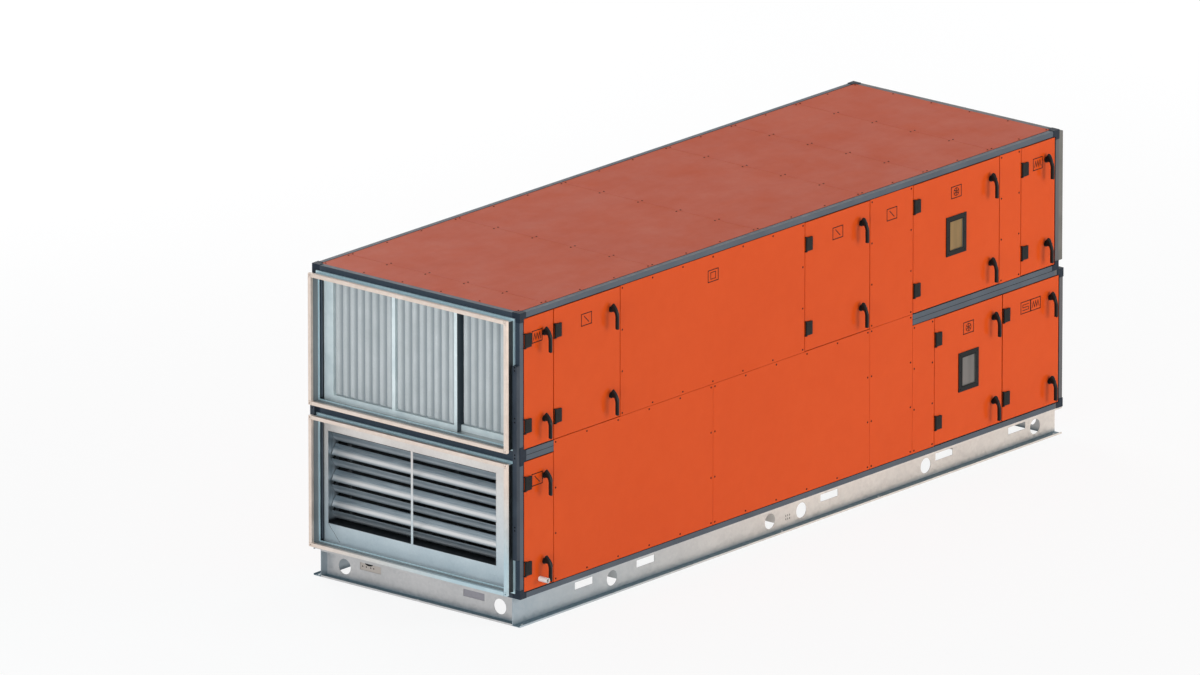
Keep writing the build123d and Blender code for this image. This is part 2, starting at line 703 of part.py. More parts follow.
web = channel_depth + channel_wall
fork_slots = (fork_slot_1, fork_slot_2, fork_slot_3, fork_slot_4, fork_slot_5)
lifting_holes = (lifting_hole_1, lifting_hole_2, lifting_hole_3, lifting_hole_4, lifting_hole_5)
with BuildPart() as base_side_beams:
    channel(Plane(origin=(x_end, y_face, 0), x_dir=(0, 1, 0), z_dir=(1, 0, 0)), lower_length, 1)
    channel(Plane(origin=(x_end, y_back, 0), x_dir=(0, 1, 0), z_dir=(1, 0, 0)), lower_length, -1)
    with BuildSketch(service) as side_holes:
        for slot in fork_slots:
            with Locations((slot, -fork_slot_drop)):
                Rectangle(fork_slot_width, fork_slot_height)
        for hole in lifting_holes:
            with Locations((hole, -lifting_drop)):
                Circle(lifting_radius)
    extrude(side_holes.sketch, amount=-casing_width, mode=Mode.SUBTRACT)
base_side_beams.part.label = "base_side_beams"
export_step(base_side_beams.part, "parts/base_side_beams.step")

with BuildPart() as base_end_beams:
    end_beam_length = casing_width - 2 * web
    for x_side, side in ((x_end, 1), (x_end + lower_length, -1)):
        beam_start = Plane(origin=(x_side, y_face + web, 0), x_dir=(1, 0, 0), z_dir=(0, -1, 0))
        channel(beam_start, -end_beam_length, side)
    with BuildSketch(duct_end) as end_holes:
        for slot in (end_slot_1, end_slot_2):
            with Locations((slot, -fork_slot_drop)):
                Rectangle(fork_slot_width, fork_slot_height)
        for hole in (end_hole_1, end_hole_2):
            with Locations((hole, -lifting_drop)):
                Circle(lifting_radius)
    extrude(end_holes.sketch, amount=lower_length, mode=Mode.SUBTRACT)
    for cover_low in (web, lower_length - web - slot_cover_thickness):
        for slot in (end_slot_1, end_slot_2):
            bar(
                cover_low,
                cover_low + slot_cover_thickness,
                slot - fork_slot_width / 2 - slot_cover_lap,
                slot + fork_slot_width / 2 + slot_cover_lap,
                -fork_slot_drop - fork_slot_height / 2 - slot_cover_lap,
                -fork_slot_drop + fork_slot_height / 2 + slot_cover_lap,
            )
base_end_beams.part.label = "base_end_beams"
export_step(base_end_beams.part, "parts/base_end_beams.step")

with BuildPart() as base_cross_members:
    for member in (cross_member_1, cross_member_2, cross_member_3, cross_member_4):
        bar(member, member + cross_member_width, web, casing_width - web, -cross_member_height, 0)
base_cross_members.part.label = "base_cross_members"
export_step(base_cross_members.part, "parts/base_cross_members.step")
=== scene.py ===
import math
import bmesh
import bpy
from mathutils import Matrix, Vector


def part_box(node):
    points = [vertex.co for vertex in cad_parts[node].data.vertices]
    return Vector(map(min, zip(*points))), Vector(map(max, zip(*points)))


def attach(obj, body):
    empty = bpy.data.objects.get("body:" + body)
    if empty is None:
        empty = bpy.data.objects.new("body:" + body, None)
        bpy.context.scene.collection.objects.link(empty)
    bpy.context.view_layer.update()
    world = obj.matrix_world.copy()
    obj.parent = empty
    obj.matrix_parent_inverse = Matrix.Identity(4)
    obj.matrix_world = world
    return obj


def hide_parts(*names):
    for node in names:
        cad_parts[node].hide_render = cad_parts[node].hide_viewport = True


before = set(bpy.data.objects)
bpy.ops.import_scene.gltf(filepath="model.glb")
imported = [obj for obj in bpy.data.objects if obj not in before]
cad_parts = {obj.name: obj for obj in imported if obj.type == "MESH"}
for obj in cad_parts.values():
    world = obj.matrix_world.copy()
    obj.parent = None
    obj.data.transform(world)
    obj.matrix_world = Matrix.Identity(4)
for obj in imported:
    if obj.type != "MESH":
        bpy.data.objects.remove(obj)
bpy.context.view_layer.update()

# Everything below is placed from the casing's corner at the duct end, on the service side, at the
# casing's underside: millimetres along the unit, inwards from the service face, and upwards.
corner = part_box("casing_frame")[0]
lower_length = 6313
upper_length = 6258
width = 2000
deck = 1094
top = 2188.2
rail = 45
lower_head, upper_foot, upper_head = deck - rail, deck + rail, 2143


def at(x, y, z):
    return corner + Vector((x, y, z)) / 1000


class Shade:
    """One output in a material's node tree, so that patterns can be written as sums."""

    def __init__(self, tree, socket):
        self.tree = tree
        self.socket = socket

    def node(self, kind, values, output=0, **settings):
        made = self.tree.nodes.new(kind)
        for name, setting in settings.items():
            setattr(made, name, setting)
        for name, value in values.items():
            if isinstance(value, Shade):
                self.tree.links.new(value.socket, made.inputs[name])
            else:
                made.inputs[name].default_value = value
        return Shade(self.tree, made.outputs[output])

    def maths(self, operation, *others):
        values = {0: self}
        for place, other in enumerate(others):
            values[place + 1] = other
        return self.node("ShaderNodeMath", values, operation=operation)

    def __add__(self, other):
        return self.maths("ADD", other)

    def __sub__(self, other):
        return self.maths("SUBTRACT", other)

    def __mul__(self, other):
        return self.maths("MULTIPLY", other)

    def band(self, low, high, start, end):
        values = {"Value": self, "From Min": low, "From Max": high, "To Min": start, "To Max": end}
        return self.node("ShaderNodeMapRange", values)

    def tint(self, low, high):
        values = {0: self, 6: low, 7: high}
        return self.node("ShaderNodeMix", values, output=2, data_type="RGBA")

    def axis(self, number):
        return self.node("ShaderNodeSeparateXYZ", {0: self}, output=number)

    def inside(self, low, high):
        return self.maths("GREATER_THAN", low) * self.maths("LESS_THAN", high)

    def noise(self, scale, detail=2.0, roughness=0.5):
        values = {"Vector": self, "Scale": scale, "Detail": detail, "Roughness": roughness}
        return self.node("ShaderNodeTexNoise", values)

    def stretched(self, x, y, z):
        return self.node("ShaderNodeMapping", {"Vector": self, "Scale": (x, y, z)})

    def to(self, shader, name):
        self.tree.links.new(self.socket, shader.inputs[name])

    def bump(self, shader, strength, distance):
        values = {"Height": self, "Strength": strength, "Distance": distance}
        self.node("ShaderNodeBump", values).to(shader, "Normal")


def finish(name, **constants):
    made = bpy.data.materials.new(name)
    made.use_nodes = True
    shader = made.node_tree.nodes["Principled BSDF"]
    for word, value in constants.items():
        shader.inputs[word.replace("_", " ").title().replace("Ior", "IOR")].default_value = value
    start = Shade(made.node_tree, None)
    place = start.node("ShaderNodeTexCoord", {}, output=3)
    return made, shader, place


def dress(material, *names):
    for name in names:
        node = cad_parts[name]
        if not node.material_slots:
            node.data.materials.append(material)
        for slot in node.material_slots:
            slot.material = material


# Fixed panels, back panels and blind end wall: double-skinned steel panels with mineral wool
# between the skins, stove enamelled orange outside, held in the frame by screws.
def sheet_skins(place, paint, zinc, depth=0.0255):
    # The enamelled outer skin ends at the panel's step; the inner skin is plain galvanised sheet.
    service, back = corner.y + depth, corner.y + width / 1000 - depth
    far, roof = corner.x + lower_length / 1000 - depth, corner.z + top / 1000 - depth
    inside = place.axis(1).inside(service, back)
    inside = inside * place.axis(0).maths("LESS_THAN", far) * place.axis(2).maths("LESS_THAN", roof)
    return inside, inside.tint(paint, zinc)


orange, shader, place = finish("orange_enamel", specular_ior_level=0.12, roughness=0.36)
tone = place.noise(0.7, 3.0) * 0.6 + place.noise(9.0, 4.0, 0.6) * 0.4
paint = tone.band(0.3, 0.7, 0.0, 1.0).tint((0.650, 0.074, 0.009, 1), (0.695, 0.086, 0.012, 1))
skin = place.noise(14.0, 3.0).tint((0.22, 0.24, 0.25, 1), (0.34, 0.36, 0.37, 1))
inside, coloured = sheet_skins(place, paint, skin)
coloured.to(shader, "Base Color")
(inside * 0.7).to(shader, "Metallic")
place.noise(2.5, 5.0, 0.65).band(0.3, 0.75, 0.13, 0.22).to(shader, "Roughness")
(place.noise(420.0, 2.0) * 0.7 + place.noise(3.0, 2.0) * 1.5).bump(shader, 0.10, 0.0008)
dress(orange, "side_panels", "back_panels", "lower_end_wall")

# Roof panels: the same enamel, with colours given slightly darker and greyer than the side panels' as painted
# shade.
roof_paint, shader, place = finish("roof_enamel", specular_ior_level=0.14, roughness=0.45)
tone = place.noise(0.9, 4.0, 0.6) * 0.55 + place.stretched(1, 6, 1).noise(2.2, 5.0, 0.7) * 0.45
paint = tone.band(0.3, 0.7, 0.0, 1.0).tint((0.585, 0.078, 0.020, 1), (0.640, 0.094, 0.026, 1))
skin = place.noise(14.0, 3.0).tint((0.22, 0.24, 0.25, 1), (0.34, 0.36, 0.37, 1))
inside, coloured = sheet_skins(place, paint, skin)
coloured.to(shader, "Base Color")
(inside * 0.7).to(shader, "Metallic")
place.noise(3.0, 5.0, 0.7).band(0.3, 0.75, 0.40, 0.56).to(shader, "Roughness")
(place.noise(380.0, 2.0) * 0.7 + place.noise(2.0, 2.0) * 1.5).bump(shader, 0.10, 0.0008)
dress(roof_paint, "roof_panels")


def turned(bm, profile, centre, out, steps=12):
    # A turned form about the axis through centre: profile pairs are radius and height, in millimetres.
    side = out.orthogonal().normalized()
    verts = [bm.verts.new(centre + (side * r + out * h) / 1000) for r, h in profile]
    edges = [bm.edges.new(pair) for pair in zip(verts, verts[1:])]
    bmesh.ops.spin(
        bm, geom=verts + edges, cent=centre, axis=out, angle=math.tau, steps=steps, use_merge=True
    )


def piece(name, bm, body, material, smooth_angle=None):
    bmesh.ops.remove_doubles(bm, verts=bm.verts, dist=0.000005)
    bmesh.ops.recalc_face_normals(bm, faces=bm.faces)
    mesh = bpy.data.meshes.new(name)
    if smooth_angle:
        for face in bm.faces:
            face.smooth = True
        for edge in bm.edges:
            edge.smooth = edge.calc_face_angle(0) < math.radians(smooth_angle)
    bm.to_mesh(mesh)
    bm.free()
    made = bpy.data.objects.new(name, mesh)
    bpy.context.scene.collection.objects.link(made)
    mesh.materials.append(material)
    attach(made, body)
    return made


def spread(low, high, pitch):
    count = max(1, round((high - low) / pitch))
    return [low + (high - low) * k / count for k in range(count + 1)]


# Panel screws: self-drilling steel screws with a flanged head and a cross recess, zinc plated,
# driven along each panel's edges into the frame behind. Their near-black colour with a red cast
# is painted shade.
screw_steel, shader, place = finish("screw_steel", roughness=0.6, specular_ior_level=0.05)
place.noise(160.0).tint((0.020, 0.004, 0.002, 1), (0.045, 0.009, 0.004, 1)).to(shader, "Base Color")
place.noise(90.0).band(0.3, 0.7, 0.35, 0.6).to(shader, "Roughness")
head = [(0, 2.0), (1.6, 2.0), (2.2, 3.4), (4.0, 3.0), (5.0, 1.6), (5.2, 0.7), (7.5, 0.5), (7.8, 0)]


def panel_spots(x_low, x_high, z_low, z_high, edge, pitch):
    spots = []
    for x in spread(x_low + edge, x_high - edge, pitch):
        spots += [(x, z_low + edge), (x, z_high - edge)]
    for z in spread(z_low + edge, z_high - edge, pitch)[1:-1]:
        spots += [(x_low + edge, z), (x_high - edge, z)]
    return spots


inset, pitch = 22, 332
upper_fixed = ((1143, 3265), (4027, 4530), (5553, 5805))
lower_fixed = (
    (385, 2206, upper_foot), (2206, 4027, upper_foot), (4027, 4530, upper_foot), (4530, 4788, lower_head)
)
roof_seams = (rail, 351, 1564, 2777, 3990, 4752, 5514)
screws = bmesh.new()
for x_low, x_high in upper_fixed:
    for x, z in panel_spots(x_low, x_high, upper_foot, upper_head, inset, pitch):
        turned(screws, head, at(x, 0, z), Vector((0, -1, 0)))
for x_low, x_high, z_high in lower_fixed:
    for x, z in panel_spots(x_low, x_high, rail, z_high, inset, pitch):
        turned(screws, head, at(x, 0, z), Vector((0, -1, 0)))
for x_low, x_high in zip(roof_seams, roof_seams[1:] + (upper_length - rail,)):
    for x, y in panel_spots(x_low, x_high, rail, width - rail, 24, 404):
        turned(screws, head, at(x, y, top), Vector((0, 0, 1)))
    for x, z in panel_spots(x_low, x_high, upper_foot, upper_head, inset, pitch):
        turned(screws, head, at(x, width, z), Vector((0, 1, 0)), 8)
for x_low, x_high in zip(roof_seams, roof_seams[1:] + (lower_length - rail,)):
    for x, z in panel_spots(x_low, x_high, rail, lower_head, inset, pitch):
        turned(screws, head, at(x, width, z), Vector((0, 1, 0)), 8)
for y, z in panel_spots(rail, width - rail, rail, lower_head, inset, pitch):
    turned(screws, head, at(lower_length, y, z), Vector((1, 0, 0)))
piece("panel_screws", screws, "casing", screw_steel, 50)

# Frame rails and posts: folded and coated steel profiles, slate grey, plugged into corner blocks
# of glass-filled nylon.
slate, shader, place = finish("frame_coating", roughness=0.42, metallic=0.1, specular_ior_level=0.3)
tone = place.noise(3.0, 4.0, 0.6).band(0.3, 0.7, 0.0, 1.0)
coat = tone.tint((0.058, 0.074, 0.094, 1), (0.082, 0.102, 0.126, 1))
# The faces at the duct end are painted darker than the rest of the coating as painted shade.
shaded_duct_face = place.axis(0).maths("LESS_THAN", corner.x + 0.0025)
coat = shaded_duct_face.tint(coat, (0.032, 0.046, 0.064, 1))
far_posts = place.axis(0).maths("GREATER_THAN", corner.x + (upper_length - 44) / 1000)
far_posts.tint(coat, (0.105, 0.103, 0.106, 1)).to(shader, "Base Color")
place.noise(12.0, 4.0).band(0.3, 0.7, 0.34, 0.5).to(shader, "Roughness")
place.noise(500.0, 2.0).bump(shader, 0.12, 0.0004)
dress(slate, "casing_frame")

nylon, shader, place = finish("corner_nylon", roughness=0.5, specular_ior_level=0.15)
place.noise(30.0, 4.0).tint((0.010, 0.015, 0.024, 1), (0.020, 0.029, 0.044, 1)).to(shader, "Base Color")
place.noise(260.0, 3.0).band(0.3, 0.7, 0.4, 0.6).to(shader, "Roughness")
place.noise(600.0, 2.0).bump(shader, 0.25, 0.0004)
dress(nylon, "corner_blocks")

# Sealing lips: black rubber profiles pressed on the rails' inner edges, against the panels.
rubber, shader, place = finish("seal_rubber", roughness=0.7, specular_ior_level=0.1)
place.noise(40.0, 3.0).tint((0.003, 0.003, 0.004, 1), (0.010, 0.010, 0.011, 1)).to(shader, "Base Color")
place.noise(900.0, 2.0).bump(shader, 0.3, 0.0003)


def strip(bm, low, high, round_over):
    # A straight lip between two corners, with its long outer edges rounded over.
    made = bmesh.ops.create_cube(bm, size=1)["verts"]
    shape = Matrix.Translation((low + high) / 2) @ Matrix.Diagonal((*(high - low), 1))
    bmesh.ops.transform(bm, matrix=shape, verts=made)
    edges = list({edge for vert in made for edge in vert.link_edges})
    if round_over:
        bmesh.ops.bevel(
            bm, geom=edges, offset=round_over / 1000, segments=2, profile=0.5, affect="EDGES", material=-1
        )


seals = bmesh.new()
for x_low, x_high, z in (
    (rail, lower_length - rail, rail), (rail, upper_length - rail, top - rail),
    (rail, 385, lower_head), (4530, lower_length - rail, lower_head),
    (rail, 385, upper_foot), (4530, upper_length - rail, upper_foot),
):
    away = -1 if z in (rail, upper_foot) else 1
    z_low, z_high = sorted((z - away * 0.5, z + away * 4))
    strip(seals, at(x_low, -0.8, z_low), at(x_high, 2, z_high), 0.3)
for x, z_low, z_high in (
    (rail, rail, lower_head), (rail, upper_foot, upper_head),
    (lower_length - rail, rail, lower_head), (upper_length - rail, upper_foot, upper_head),
):
    away = -1 if x == rail else 1
    x_low, x_high = sorted((x - away * 0.5, x + away * 4))
    strip(seals, at(x_low, -0.8, z_low), at(x_high, 2, z_high), 0.3)
for y in (rail, width - rail):
    away = -1 if y == rail else 1
    y_low, y_high = sorted((y - away * 0.5, y + away * 4))
    strip(seals, at(rail, y_low, top - 2), at(upper_length - rail, y_high, top + 0.8), 0.3)
for x_low, x_high in ((rail, 385), (4530, upper_length - rail)):
    strip(seals, at(x_low, -0.5, deck - 1.6), at(x_high, 2, deck + 1.6), 0)
piece("rail_seals", seals, "casing", rubber)

# Deck floors and the posts behind the seams: bright galvanised sheet.
zinc, shader, place = finish("galvanised_sheet", metallic=1.0, roughness=0.4)
spangle = place.node("ShaderNodeTexVoronoi", {"Vector": place, "Scale": 55.0}, output=1)
grain = spangle.node("ShaderNodeSeparateColor", {"Color": spangle})
tone = grain * 0.5 + place.noise(4.0, 4.0, 0.6) * 0.5
tone.tint((0.40, 0.42, 0.43, 1), (0.56, 0.575, 0.58, 1)).to(shader, "Base Color")
(grain * 0.5 + place.noise(18.0, 3.0) * 0.5).band(0.2, 0.8, 0.34, 0.56).to(shader, "Roughness")
place.noise(120.0, 3.0).bump(shader, 0.15, 0.0005)
dress(zinc, "deck_floors", "inner_posts")

# Service doors: panels of the same make on hinges, with black plastic hinge pads, swan-necked
# compression levers and, on two of them, framed inspection windows.
doors = {
    "upper_door_1": (rail, 385, deck), "upper_door_2": (385, 1143, deck), "upper_door_3": (3265, 4027, deck),
    "upper_door_4": (4530, 5553, deck), "upper_door_5": (5805, 6213, deck), "lower_door_1": (rail, 385, 0),
    "lower_door_2": (4788, 5595, 0), "lower_door_3": (5595, 6268, 0),
}
plastic, shader, place = finish("black_nylon", roughness=0.38, specular_ior_level=0.14)
place.noise(25.0, 3.0).tint((0.005, 0.0055, 0.0055, 1), (0.012, 0.013, 0.013, 1)).to(shader, "Base Color")
place.noise(60.0, 3.0).band(0.3, 0.7, 0.3, 0.46).to(shader, "Roughness")
place.noise(700.0, 2.0).bump(shader, 0.2, 0.0003)
for name in doors:
    dress(orange, name + "_panel")
    dress(plastic, name + "_fittings")

# Lever grips: black nylon mouldings over the levers' steel bars, a rounded section drawn along each
# swan neck, from the hub outwards and down. The pairs are reach from the door and rise over the hub.
spine = [(20, 36), (34, 26), (50, 2), (62, -26), (66, -44), (66, -96), (66, -138)]
for name, (x_low, x_high, base) in doors.items():
    bm = bmesh.new()
    for hub_z in (base + 236, base + 895):
        rings = []
        for k, (reach, rise) in enumerate(spine):
            # The ring stands square to the neck, and its points are pushed out to a rounded oblong.
            ahead, behind = spine[min(k + 1, len(spine) - 1)], spine[max(k - 1, 0)]
            along = Vector((0, ahead[0] - behind[0], behind[1] - ahead[1])).normalized()
            bar = bmesh.ops.create_circle(bm, radius=1, segments=20)["verts"]
            for vert in bar:
                swell = max(abs(vert.co.x), abs(vert.co.y)) ** -0.85
                vert.co.x *= 0.0128 * swell
                vert.co.y *= 0.0118 * swell
            turn = Vector((0, 0, 1)).rotation_difference(along).to_matrix().to_4x4()
            move = Matrix.Translation(at(x_high - 113, -reach, hub_z + rise))
            bmesh.ops.transform(bm, matrix=move @ turn, verts=bar)
            rings.append([bm.edges.get((bar[k - 1], bar[k])) for k in range(len(bar))])
        for first, second in zip(rings, rings[1:]):
            bmesh.ops.bridge_loops(bm, edges=first + second)
        bmesh.ops.edgeloop_fill(bm, edges=rings[0] + rings[-1])
    piece(name + "_grips", bm, name, plastic, 40)

# Inspection panes: double acrylic panes, the upper one yellowed, the lower one grey.
for name, dark, light in (
    ("upper_door_4", (0.20, 0.135, 0.055, 1), (0.34, 0.205, 0.080, 1)),
    ("lower_door_2", (0.14, 0.135, 0.125, 1), (0.20, 0.19, 0.175, 1)),
):
    pane, shader, place = finish("pane_" + name, roughness=0.06, specular_ior_level=0.2)
    place.stretched(9, 1, 1.2).noise(1.2, 2.0).band(0.3, 0.7, 0, 1).tint(dark, light).to(shader, "Base Color")
    place.noise(20.0, 3.0).band(0.3, 0.7, 0.04, 0.12).to(shader, "Roughness")
    place.noise(6.0, 2.0).bump(shader, 0.05, 0.001)
    dress(pane, name + "_pane")

# Door symbols: plain line pictograms of what stands behind each panel, screen printed.
ink, shader, place = finish("printing_ink", roughness=0.55, specular_ior_level=0.1)
place.noise(80.0, 3.0).tint((0.020, 0.006, 0.003, 1), (0.035, 0.010, 0.005, 1)).to(shader, "Base Color")
place.noise(300.0).band(0.3, 0.7, 0.5, 0.62).to(shader, "Roughness")


def stroke(bm, x1, z1, x2, z2, thick=7):
    # One printed line from point to point, a thin film that ends half its width past both.
    start, end = at(x1, -0.15, z1), at(x2, -0.15, z2)
    film = bmesh.ops.create_cube(bm, size=1)["verts"]
    size = Matrix.Diagonal(((end - start).length + thick / 1000, 0.0006, thick / 1000, 1))
    turn = Vector((1, 0, 0)).rotation_difference(end - start).to_matrix().to_4x4()
    bmesh.ops.transform(bm, matrix=Matrix.Translation((start + end) / 2) @ turn @ size, verts=film)


def outline(bm, x_low, x_high, z_low, z_high, thick=7):
    stroke(bm, x_low, z_low, x_high, z_low, thick)
    stroke(bm, x_low, z_high, x_high, z_high, thick)
    stroke(bm, x_low, z_low, x_low, z_high, thick)
    stroke(bm, x_high, z_low, x_high, z_high, thick)


def symbol(name, body, kind, x_low, x_high, base):
    bm = bmesh.new()
    z_low, z_high = base + 840, base + 929
    boxes = ((x_low, x_high),)
    if kind == "coil and filter":
        boxes = ((x_low, (x_low + x_high) / 2 - 3), ((x_low + x_high) / 2 + 3, x_high))
    for place_in_row, (left, right) in enumerate(boxes):
        outline(bm, left, right, z_low, z_high)
        x_mid, z_mid = (left + right) / 2, (z_low + z_high) / 2
        w, h = right - left, z_high - z_low
        if kind == "filter" or (kind == "coil and filter" and place_in_row == 1):
            swings = [0.26 if k % 2 else -0.26 for k in range(7)]
            points = [(left + w * (0.14 + 0.12 * k), z_mid + h * swing) for k, swing in enumerate(swings)]
            for (x1, z1), (x2, z2) in zip(points, points[1:]):
                stroke(bm, x1, z1, x2, z2, 6)
        elif kind == "coil and filter":
            for k in range(3):
                z = z_mid + h * (0.24 - 0.24 * k)
                stroke(bm, left + w * 0.2, z, right - w * 0.2, z, 5.5)
            stroke(bm, left + w * 0.2, z_mid + h * 0.24, left + w * 0.2, z_mid, 5.5)
            stroke(bm, right - w * 0.2, z_mid, right - w * 0.2, z_mid - h * 0.24, 5.5)
        elif kind == "damper":
            stroke(bm, x_mid - w * 0.22, z_mid + h * 0.28, x_mid + w * 0.22, z_mid - h * 0.28, 7)
        elif kind == "silencer":
            outline(bm, x_mid - w * 0.24, x_mid + w * 0.24, z_mid - h * 0.28, z_mid + h * 0.28, 6)
        elif kind == "fan":
            for k in range(12):
                a, b = math.tau * k / 12, math.tau * (k + 1) / 12
                r = h * 0.34
                stroke(
                    bm, x_mid + r * math.cos(a), z_mid + r * math.sin(a),
                    x_mid + r * math.cos(b), z_mid + r * math.sin(b), 5,
                )
            for k in range(6):
                a = math.tau * k / 6
                r, bend = h * 0.30, 0.5
                stroke(
                    bm, x_mid + r * 0.25 * math.cos(a), z_mid + r * 0.25 * math.sin(a),
                    x_mid + r * math.cos(a + bend), z_mid + r * math.sin(a + bend), 6.5,
                )
    piece(name, bm, body, ink)


symbol("symbol_1", "upper_door_1", "filter", 142, 255, deck)
symbol("symbol_2", "upper_door_2", "damper", 700, 815, deck)
symbol("symbol_3", "casing", "silencer", 2147, 2263, deck)
symbol("symbol_4", "upper_door_3", "damper", 3591, 3707, deck)
symbol("symbol_5", "casing", "damper", 4224, 4339, deck)
symbol("symbol_6", "upper_door_4", "fan", 4981, 5098, deck)
symbol("symbol_7", "upper_door_5", "filter", 5952, 6058, deck)
symbol("symbol_8", "lower_door_1", "damper", 138, 256, 0)
symbol("symbol_9", "lower_door_2", "fan", 5132, 5251, 0)
symbol("symbol_10", "lower_door_3", "coil and filter", 5814, 6046, 0)

# Hinge brackets: black nylon mouldings in the seams, the same as the pads, which turn on their
# pins. Each is screwed to the frame behind.
dress(plastic, "hinge_brackets")

# Hinge pad screws: each pad is held to its door by two countersunk screws, and has a raised
# cover over its pin, moulded with it in black nylon.
pad_screw = [(0, 0.2), (1.5, 0.2), (2.2, 0.9), (5.5, 0.9), (6.0, 0)]
for name, (x_low, x_high, base) in doors.items():
    bm = bmesh.new()
    for pad_low in (base + 172, base + 825):
        for z in (pad_low + 20, pad_low + 83):
            turned(bm, pad_screw, at(x_low + 49, -16, z), Vector((0, -1, 0)))
        strip(bm, at(x_low + 31, -16.8, pad_low + 34), at(x_low + 67, -15.8, pad_low + 69), 0.4)
    piece(name + "_pad_trim", bm, name, plastic)

# Window trims: a rolled rubber glazing lip round each pane, a grey plastic liner in the opening's
# reveal, and screws in the frame's corners.
liner, shader, place = finish("liner_plastic", roughness=0.5, specular_ior_level=0.2)
place.noise(30.0, 3.0).tint((0.10, 0.105, 0.095, 1), (0.15, 0.155, 0.14, 1)).to(shader, "Base Color")
trim_screw = [(0, 0.3), (1.6, 0.3), (2.4, 1.6), (4.2, 1.3), (5.0, 0)]
for name, x_mid, base in (("upper_door_4", 5036.5, deck), ("lower_door_2", 5190.5, 0)):
    bm = bmesh.new()
    z_mid = base + 551.5
    half_w, half_h, half_lip = 79.5, 114.5, 2.5
    wide, tall = half_w + half_lip, half_h + half_lip
    for sign in (-1, 1):
        x, z = x_mid + sign * half_w, z_mid + sign * half_h
        strip(bm, at(x - half_lip, -8.4, z_mid - tall), at(x + half_lip, -4, z_mid + tall), 1.2)
        strip(bm, at(x_mid - wide, -8.4, z - half_lip), at(x_mid + wide, -4, z + half_lip), 1.2)
    for x in (x_mid - 98, x_mid + 98):
        for z in (z_mid - 133, z_mid, z_mid + 133):
            turned(bm, trim_screw, at(x, -7, z), Vector((0, -1, 0)))
    piece(name + "_window_trim", bm, name, rubber)
    bm = bmesh.new()
    glass = (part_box(name + "_pane")[0].y - corner.y) * 1000
    # The liner is 0.8 mm thick and fills the opening up to the glass.
    inner_w, outer_w, inner_h, outer_h = 76.2, 77, 111.2, 112
    for sign in (-1, 1):
        x_low, x_high = sorted((x_mid + sign * inner_w, x_mid + sign * outer_w))
        strip(bm, at(x_low, -6.5, z_mid - outer_h), at(x_high, glass, z_mid + outer_h), 0)
        z_low, z_high = sorted((z_mid + sign * inner_h, z_mid + sign * outer_h))
        strip(bm, at(x_mid - inner_w, -6.5, z_low), at(x_mid + inner_w, glass, z_high), 0)
    piece(name + "_window_liner", bm, name, liner)

# Drain stub: a white plastic pipe end through the lower end door.
white, shader, place = finish("white_pvc", roughness=0.4)
place.noise(30.0, 4.0).tint((0.66, 0.64, 0.60, 1), (0.78, 0.77, 0.74, 1)).to(shader, "Base Color")
place.noise(90.0, 3.0).band(0.3, 0.7, 0.34, 0.5).to(shader, "Roughness")
place.noise(300.0, 2.0).bump(shader, 0.1, 0.0004)
dress(white, "drain_stub")

# Duct flanges: galvanised frames rolled from angle, with mitred corners. The two at the duct end
# are warm on their fronts and colder at the lower one's near corner. Where they meet the unit they
# are pale teal, a painted reflection of the sky.
flange_zinc, shader, place = finish("flange_zinc", metallic=0.55, roughness=0.42)
tone = (place.noise(5.0, 4.0, 0.6) * 0.6 + place.noise(45.0, 2.0) * 0.4).band(0.3, 0.7, 0.0, 1.0)
warm = tone.tint((0.66, 0.54, 0.46, 1), (0.78, 0.66, 0.58, 1))
cold = tone.tint((0.40, 0.52, 0.57, 1), (0.50, 0.62, 0.66, 1))
sky_reflection_teal = tone.tint((0.50, 0.68, 0.74, 1), (0.62, 0.78, 0.82, 1))
height, across = place.axis(2), place.axis(1)
lowest = height.band(corner.z, corner.z + 0.9, 1.0, 0.0) * across.band(corner.y, corner.y + 1.9, 1.0, 0.0)
warm = (lowest * 1.5).maths("MINIMUM", 1.0).tint(warm, cold)
# Near the casing the flanges take a painted pale teal reflection of the sky.
against_casing = place.axis(0).inside(corner.x - 0.02, corner.x + 0.5)
against_casing.tint(warm, sky_reflection_teal).to(shader, "Base Color")
place.noise(20.0, 4.0).band(0.3, 0.7, 0.36, 0.54).to(shader, "Roughness")
place.noise(200.0, 2.0).bump(shader, 0.12, 0.0004)
dress(flange_zinc, "duct_flanges")

# Flexible sleeves: coated fabric rings clamped between each pair of flanges, grey inside. They are
# painted black on their sides and undersides as painted shade, and pale teal on top as a painted
# reflection of the sky.
sleeve, shader, place = finish("sleeve_fabric", roughness=0.45)
ribs = {"Vector": place, "Scale": 90.0, "Distortion": 0.3}
weave = place.node("ShaderNodeTexWave", ribs, bands_direction="X")
tone = place.stretched(6, 1, 0.4).noise(5.0, 4.0) * 0.7 + weave * 0.3
lining = tone.tint((0.10, 0.12, 0.13, 1), (0.30, 0.33, 0.34, 1))
up, across = place.axis(2) - corner.z, place.axis(1) - corner.y
# Tops get the painted pale teal sky reflection; sides and undersides get painted black shade.
sky_reflection_tops = up.inside(2.1315, 2.14) + up.inside(1.0375, 1.041)
sides = across.maths("LESS_THAN", 0.0562) + across.maths("GREATER_THAN", 1.9438)
feet = up.inside(1.148, 1.1505) + up.inside(0.054, 0.0565)
painted_shade_faces = (sides + feet).maths("MINIMUM", 1.0).tint(lining, (0.006, 0.007, 0.008, 1))
sky_reflection_tops.tint(painted_shade_faces, (0.50, 0.64, 0.69, 1)).to(shader, "Base Color")
place.noise(40.0, 3.0).band(0.3, 0.7, 0.3, 0.55).to(shader, "Roughness")
weave.bump(shader, 0.3, 0.0006)
dress(sleeve, "connector_sleeves")

